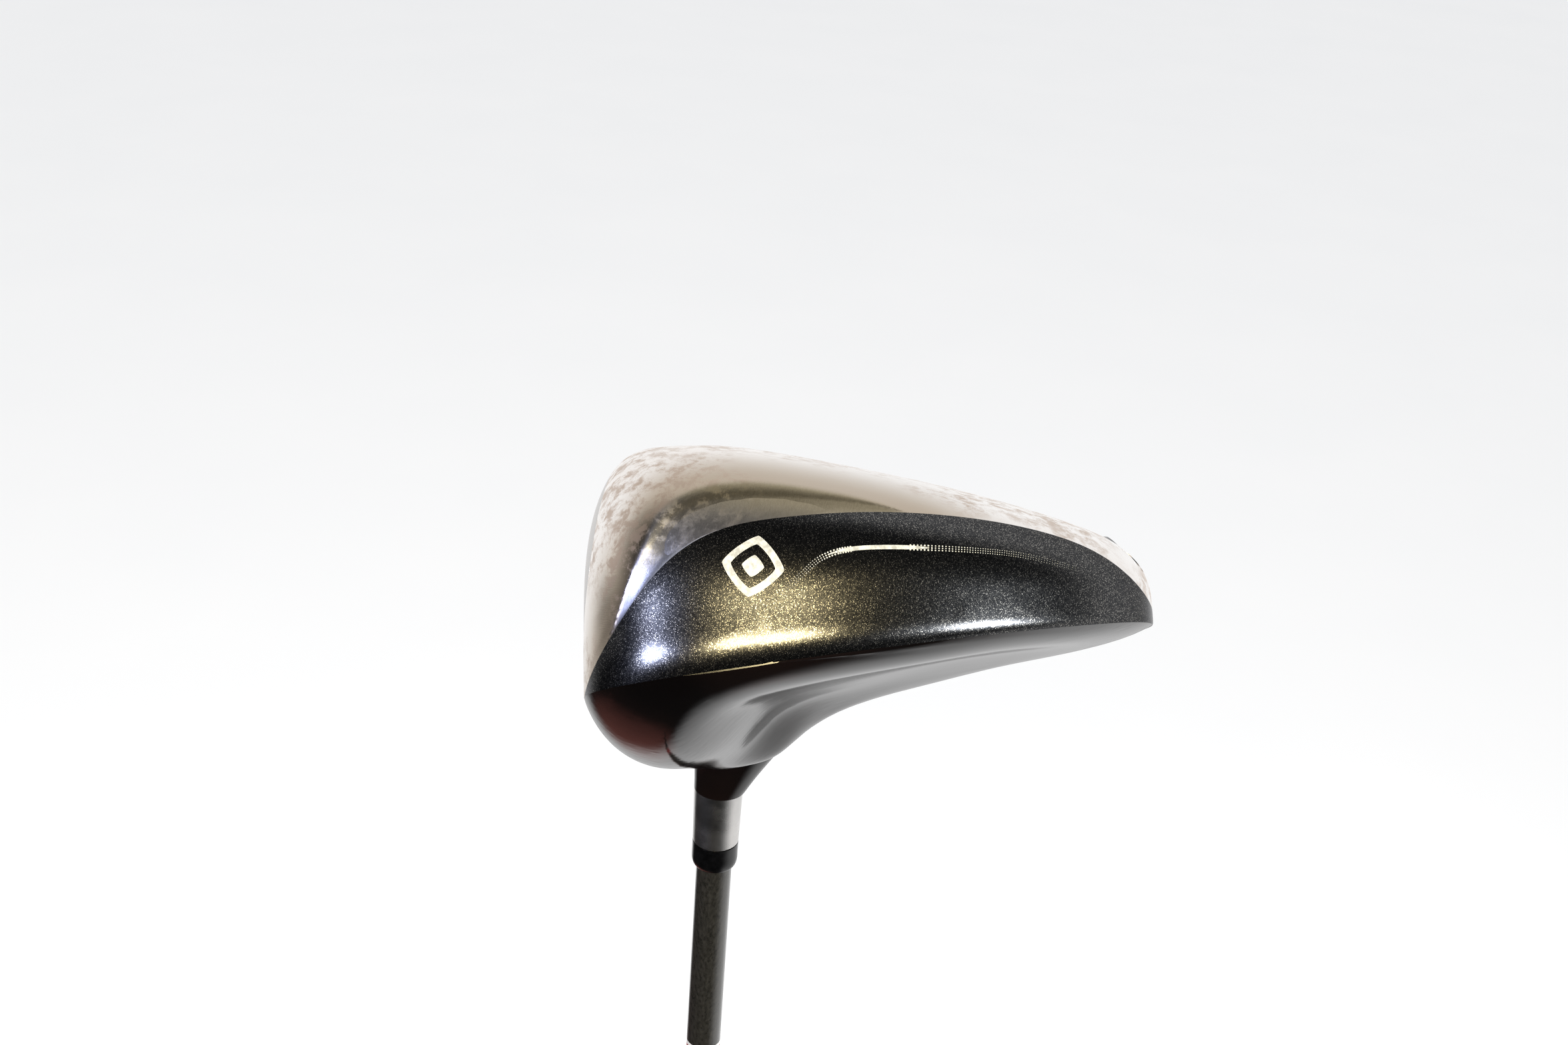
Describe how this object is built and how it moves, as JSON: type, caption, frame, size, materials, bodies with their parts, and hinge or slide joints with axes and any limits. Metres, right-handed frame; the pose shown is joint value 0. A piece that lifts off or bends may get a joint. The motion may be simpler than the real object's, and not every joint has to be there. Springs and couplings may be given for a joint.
{
  "type": "golf driver",
  "caption": "Right-handed golf driver: hollow metal head with a scooped crown, bonded hosel, tapered shaft and rubber grip, stood grip down.",
  "frame": {"origin": "centre of the grip's butt end, on the shaft axis", "axes": "+Z along the shaft from the butt to the head, so the club stands grip down; +X towards the toe, -Y towards the target"},
  "size_m": [0.1238, 0.1132, 1.1768],
  "materials": {
    "face_titanium": "vertically brushed titanium plate",
    "sole_titanium": "polished bare titanium with fine wear and a satin-brushed cove",
    "skirt_paint": "black metallic-flake paint under clear coat",
    "crown_paint": "gloss black paint",
    "hosel_steel": "satin bare metal",
    "core_plastic": "plain moulded",
    "epoxy": "cured adhesive",
    "ferrule_plastic": "polished black",
    "shaft_graphite": "dark bronze-grey paint with clear coat and coloured bands",
    "brass": "turned",
    "tape": "crepe paper tape",
    "grip_rubber": "matt moulded rubber with a fine tread",
    "screw_steel": "turned dark steel",
    "hot_melt": "set glue"
  },
  "bodies": {
    "root": {"face_insert": "face_titanium", "sole_body": "sole_titanium", "toe_panel": "skirt_paint", "heel_panel": "skirt_paint", "crown_shell": "crown_paint", "hosel_tube": "hosel_steel", "hosel_plug": "core_plastic", "epoxy_bond": "epoxy", "ferrule": "ferrule_plastic", "shaft": "shaft_graphite", "tip_weight": "brass", "grip_tape": "tape", "grip_sleeve": "grip_rubber", "grip_cap": "grip_rubber", "weight_port": "sole_titanium", "weight_screw": "screw_steel", "hot_melt_pad": "hot_melt"}
  },
  "joints": []
}
